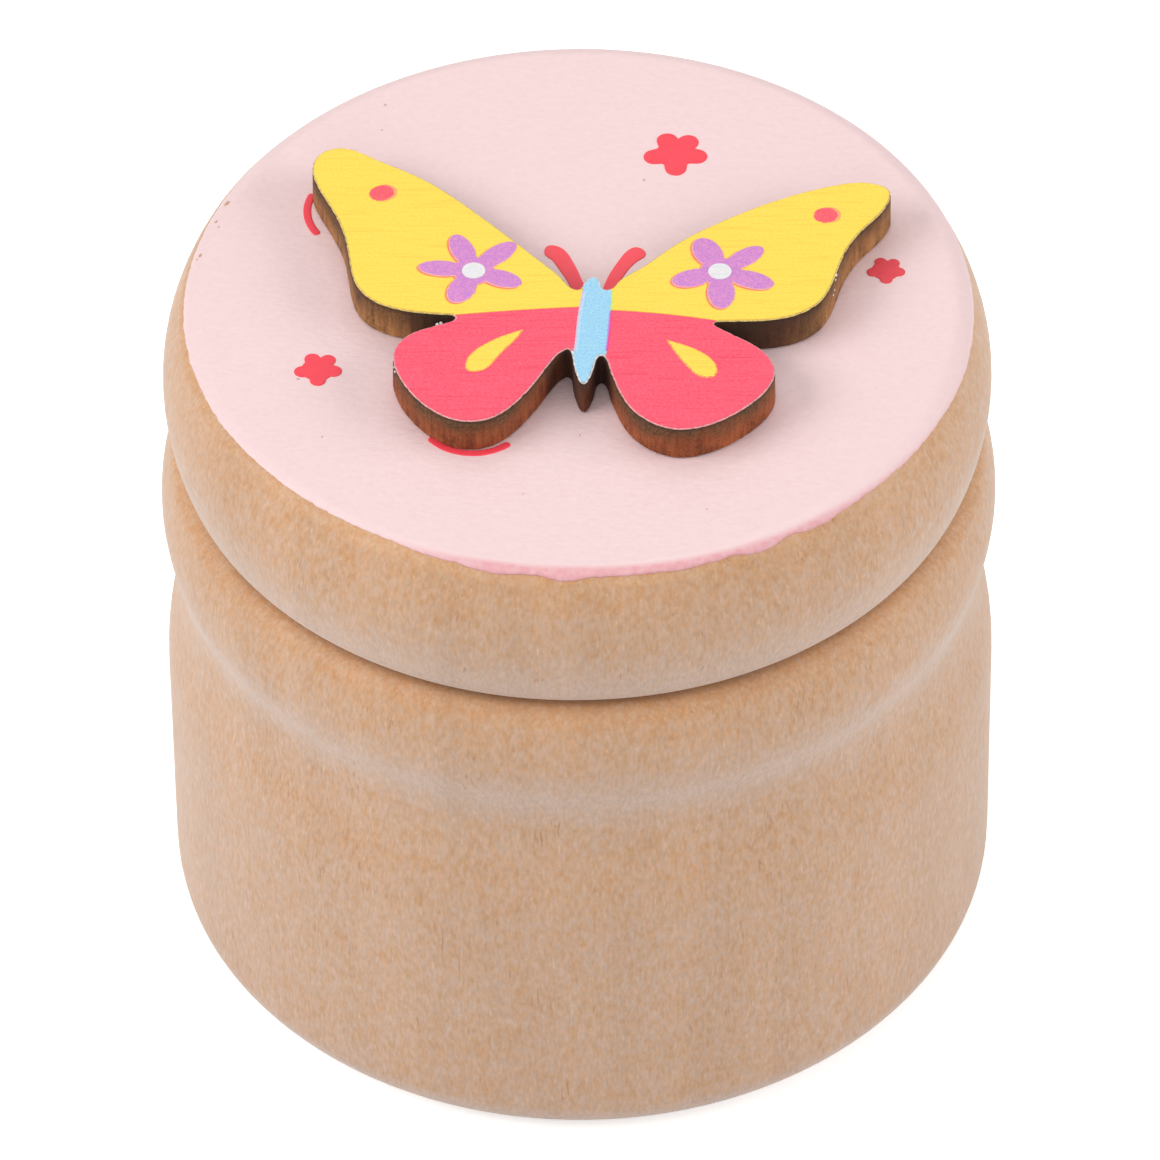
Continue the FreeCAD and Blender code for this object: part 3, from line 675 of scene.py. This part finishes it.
def make_ground(ground):
    """White ground of the print, with the stain of the nearest ink along its edge."""
    low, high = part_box("print_base")
    outline = resampled(top_outline("print_base"), 0.1 * MM)
    inks = {}
    for ink in ("forewing_ink", "hindwing_ink", "body_ink"):
        for node in nodes:
            if node.startswith(ink):
                inks[node] = resampled(top_outline(node), 0.1 * MM)
    tree = kdtree.KDTree(sum(len(points) for points in inks.values()))
    owners = []
    for node, points in inks.items():
        for point in points:
            tree.insert(Vector((point.x, point.y, 0)), len(owners))
            owners.append(node)
    tree.balance()
    nearest = [owners[tree.find(Vector((p.x, p.y, 0)))[1]] for p in outline]
    cream = [float(node.startswith("forewing")) for node in nearest]
    rose = [float(node.startswith("hindwing")) for node in nearest]
    ragged = [max(0.0, noise.noise(point / (0.3 * MM))) * 0.06 * MM for point in outline]
    steps = [(0.0, low.z), (0.0, (low.z + high.z) / 2), (0.02 * MM, high.z), (0.3 * MM, high.z)]
    rings = [level_ring(outline, [inset + r for r in ragged], height) for inset, height in steps]
    shape = bmesh.new()
    add_rings(shape, rings, cream=[cream] * len(rings), rose=[rose] * len(rings))
    add_piece("print_ground", shape, ground, "white_ink", ["print_base"])
    return outline


def make_crumbs(outline, ground):
    """Crumbs of the ground that the beam tore off and left on the butterfly's edge."""
    dice = random.Random(7)
    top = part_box("print_base")[1].z
    outward = [-n for n in inward(outline)]
    shape = bmesh.new()
    for x, y, depth, radius in CRUMBS:
        index = min(range(len(outline)), key=lambda i: (outline[i].xy - Vector((x, y)) * MM).length)
        middle = Vector((outline[index].x, outline[index].y, top - depth * MM)) + outward[index] * 0.02 * MM
        lump = bmesh.ops.create_icosphere(shape, subdivisions=2, radius=radius * MM)["verts"]
        for vertex in lump:
            vertex.co = middle + vertex.co * dice.uniform(0.6, 1.1)
    add_piece("ground_crumbs", shape, ground, "white_ink", crease=30)


def make_print(node, ink, slot, step, rounding):
    """Film of ink that stands for a CAD node, on that node's outline and with a rounded edge."""
    low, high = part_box(node)
    shape = bmesh.new()
    add_film(shape, resampled(top_outline(node), step), low.z, high.z, rounding)
    add_piece(node + "_print", shape, ink, slot, [node], crease=70)


def make_fringes():
    """Slivers of ink that show where the print's colours don't quite meet."""
    coral = print_ink("coral_fringe", "#FF7A70", "#FF9A6E", 0.8, "#F2685E")
    peach = print_ink("peach_fringe", "#FF9E78", "#FFC070", 0.8, "#F09060")
    orange = print_ink("orange_fringe", "#F4A24A", "#FFC050", 0.8, "#E08A40")
    # What it fringes, ink and slot, and how far the ink is shifted and spread, in mm
    fringes = [
        ("wing_flower", coral, "red_ink", Vector((-0.09, -0.06, 0)), 0.0),
        ("wing_dot", peach, "red_ink", Vector((0.1, 0.03, 0)), 0.02),
        ("wing_drop", orange, "yellow_ink", Vector((0.0, 0.0, 0)), 0.03),
    ]
    for start, ink, slot, shift, spread in fringes:
        for side in ("_left", "_right"):
            low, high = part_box(start + side)
            outline = [p + shift * MM for p in resampled(top_outline(start + side), 0.06 * MM)]
            outline = level_ring(outline, [-spread * MM] * len(outline), 0)
            shape = bmesh.new()
            add_film(shape, outline, low.z, low.z + 0.6 * (high.z - low.z), 0.02 * MM)
            add_piece(start + side + "_fringe", shape, ink, slot, crease=70)


def make_wing_prints():
    """Flowers, dots and drops printed over the wings' inks, with soft edges."""
    yellow, pink = "#FFDB54", "#FF5872"
    inks = {
        "wing_flower": (print_ink("purple_ink", "#C57FCB", "#E394C7", 0.9, "#BF83C6", yellow), "purple_ink"),
        "wing_dot": (print_ink("red_ink", "#FF5062", "#FF7276", 0.7, "#F24C5C", yellow), "red_ink"),
        "wing_drop": (print_ink("drop_ink", "#FFD748", "#FFE066", 0.7, "#FBC647", pink), "yellow_ink"),
    }
    for start, (ink, slot) in inks.items():
        for side in ("_left", "_right"):
            make_print(start + side, ink, slot, 0.05 * MM, 0.12 * MM)


def make_body_edges():
    """Slivers along the body where its blue and the wings' inks mix: pale on its left, green beside the
    yellow and purple beside the pink on its right."""
    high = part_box("body_ink")[1].z
    outline = resampled(top_outline("body_ink"), 0.08 * MM)
    normals = inward(outline)
    wing_line = max(p.y for p in top_outline("hindwing_ink_right") if p.x < 2.2 * MM)
    # Name, slot, side, lower and upper end in Y, edges measured in from the body's outline in mm, colours
    slivers = [
        ("left_pale", "white_ink", -1, -6.2 * MM, -1.4 * MM, -0.04, 0.07, "#CFB8D6", "#DACEE2"),
        ("left_blue", "blue_ink", -1, -6.2 * MM, -1.4 * MM, 0.07, 0.17, "#AAD5F2", "#C6E4F5"),
        ("right_green", "yellow_ink", 1, wing_line, -1.36 * MM, -0.1, 0.02, "#D2DE66", "#E6E66A"),
        ("right_pink", "pink_ink", 1, -6.1 * MM, wing_line, -0.09, 0.0, "#E24A9C", "#F24C8C"),
        ("right_purple", "purple_ink", 1, -6.1 * MM, wing_line, 0.0, 0.07, "#A88CDE", "#C296D8"),
    ]
    for name, slot, side, bottom, top, start, end, code, dot_code in slivers:
        run = [(p, n) for p, n in zip(outline, normals) if bottom < p.y < top and side * n.x < -0.7]
        run.sort(key=lambda pair: pair[0].y)
        outer = [p + n * start * MM for p, n in run]
        inner = [p + n * end * MM for p, n in run]
        loop = outer + inner[::-1] if side > 0 else inner + outer[::-1]
        shape = bmesh.new()
        add_rings(shape, [[Vector((p.x, p.y, high + rise * MM)) for p in loop] for rise in (-0.005, 0.01)])
        add_piece("body_edge_" + name, shape, print_ink(name, code, dot_code, 0.8, code), slot)


def make_lid_prints():
    """Red prints on the lacquer, each a low cushion of ink with a rounded edge. The right flower is printed
    a darker red. The feelers are printed a lighter red, painted light that makes up for the shade
    between the forewings."""
    red = screen_print("screen_print_red", "#EF3B4B", "#FB4B5B")
    dark_red = screen_print("dark_screen_print_red", "#D83A46", "#F04A56")
    # Lighter red on the feelers: painted light against the shade between the forewings
    painted_lit_red = screen_print("painted_lit_screen_print_red", "#FF4854", "#FF5A66")
    inks = {
        "antenna_left": painted_lit_red, "antenna_right": painted_lit_red, "flutter_arc_left": red,
        "flutter_arc_front": red, "lid_flower_back": red, "lid_flower_left": red,
        "lid_flower_right": dark_red,
    }
    for node, ink in inks.items():
        make_print(node, ink, "red_paint", 0.06 * MM, 0.1 * MM)


def dress_cad_nodes(birch):
    """Give the pieces whose CAD shape is right their finishes."""
    yellow = print_ink("yellow_ink", "#FFD748", "#FFE066", 0.7, "#FBC647")
    pink = print_ink("pink_ink", "#FF4D68", "#FF697E", 0.8, "#D8324E")
    blue = print_ink("blue_ink", "#90CAEC", "#AEDAEF", 0.9, "#99CEE9")
    white = print_ink("white_ink", "#E3E1E4", "#EEEEEE", 0.7, "#D9D7DC")
    finishes = {
        "cup": birch, "lid": birch, "glue_spots": set_glue(), "body_ink": blue, "forewing_ink": yellow,
        "hindwing_ink": pink, "flower_centre": white,
    }
    for start, finish in finishes.items():
        for node in nodes:
            if node == start or node in (start + "_left", start + "_right"):
                nodes[node].material_slots[0].material = finish


def rays_to_eye(tree):
    """Share of rays that show a thing to the eye, also in a gloss or through glass."""
    path = add(tree, "LightPath").outputs
    seen = add(tree, "Math", {0: path["Is Camera Ray"], 1: path["Is Glossy Ray"]}, operation="MAXIMUM")
    return add(tree, "Math", {0: seen, 1: path["Is Transmission Ray"]}, operation="MAXIMUM")


def add_floor():
    """White table that shows as white but keeps the box's soft shadow. It lies a hair below the foot, and
    throws up less light than it shows."""
    shape = bmesh.new()
    bmesh.ops.create_grid(shape, x_segments=1, y_segments=1, size=3.0)
    mesh = bpy.data.meshes.new("floor")
    shape.to_mesh(mesh)
    shape.free()
    floor = bpy.data.objects.new("floor", mesh)
    floor.location.z = -0.02 * MM
    bpy.context.scene.collection.objects.link(floor)
    material = bpy.data.materials.new("white_table")
    material.use_nodes = True
    tree = material.node_tree
    tree.nodes.clear()
    board = add(tree, "BsdfDiffuse", {"Color": linear("#F4F4F4")})
    glow = add(tree, "Emission", {"Strength": 0.5})
    shown = add(tree, "AddShader", {0: board, 1: glow})
    bounce = add(tree, "BsdfDiffuse", {"Color": linear("#D0D0D0")})
    mixed = add(tree, "MixShader", {0: rays_to_eye(tree), 1: bounce, 2: shown})
    add(tree, "OutputMaterial", {"Surface": mixed})
    mesh.materials.append(material)


def add_surroundings():
    """White tent all round: plain white to the eye, and even soft light on the box."""
    world = bpy.data.worlds.new("white_tent")
    bpy.context.scene.world = world
    world.use_nodes = True
    tree = world.node_tree
    tree.nodes.clear()
    light = add(tree, "Background", {"Color": linear("#FFFFFF"), "Strength": 0.33})
    shown = add(tree, "Background", {"Color": linear("#FFFFFF"), "Strength": 1.0})
    mixed = add(tree, "MixShader", {0: rays_to_eye(tree), 1: light, 2: shown})
    add(tree, "OutputWorld", {"Surface": mixed})


def add_softboxes():
    """Softboxes: a broad one overhead and a little behind, the strongest on the left, and weaker ones in
    front and on the right. Places and sizes are in metres, powers in watts."""
    middle = (cad_box[0] + cad_box[1]) / 2
    softboxes = {
        "top_softbox": {"place": (-0.06, 0.30, 0.86), "size": (0.8, 0.8), "power": 2.0},
        "front_softbox": {"place": (-0.05, -0.74, 0.46), "size": (0.6, 0.4), "power": 1.12},
        "left_softbox": {"place": (-0.52, -0.12, 0.42), "size": (0.5, 0.3), "power": 2.5},
        "right_softbox": {"place": (0.55, -0.10, 0.30), "size": (0.5, 0.25), "power": 1.75},
    }
    for name, box in softboxes.items():
        data = bpy.data.lights.new(name, "AREA")
        data.shape = "RECTANGLE"
        data.size, data.size_y = box["size"]
        data.energy = box["power"]
        lamp = bpy.data.objects.new(name, data)
        lamp.location = box["place"]
        lamp.rotation_euler = (lamp.location - middle).to_track_quat("Z", "Y").to_euler()
        bpy.context.scene.collection.objects.link(lamp)


def add_camera():
    """Camera where the photograph's stood."""
    data = bpy.data.cameras.new("camera")
    data.sensor_width = SENSOR_WIDTH
    data.lens = SENSOR_WIDTH * FOCAL_PIXELS / IMAGE_PIXELS
    camera = bpy.data.objects.new("camera", data)
    back = Vector((0, -math.cos(CAMERA_ELEVATION), math.sin(CAMERA_ELEVATION)))
    right = Vector((1, 0, 0))
    up = back.cross(right)
    rolled_right = right * math.cos(CAMERA_ROLL) + up * math.sin(CAMERA_ROLL)
    rolled_up = up * math.cos(CAMERA_ROLL) - right * math.sin(CAMERA_ROLL)
    turn = Matrix((rolled_right, rolled_up, back)).transposed()
    camera.matrix_world = Matrix.Translation(CAMERA_TARGET + back * CAMERA_DISTANCE) @ turn.to_4x4()
    bpy.context.scene.collection.objects.link(camera)
    bpy.context.scene.camera = camera


birch = sanded_birch()
dress_cad_nodes(birch)
lid_side = outer_side("lid")
make_lacquer(lid_side)
make_chips(lid_side, birch)
make_dust()
make_butterfly()
ground = stained_ground()
make_crumbs(make_ground(ground), ground)
make_fringes()
make_wing_prints()
make_body_edges()
make_lid_prints()
add_floor()
add_surroundings()
add_softboxes()
add_camera()
bpy.context.scene.view_settings.view_transform = "Standard"
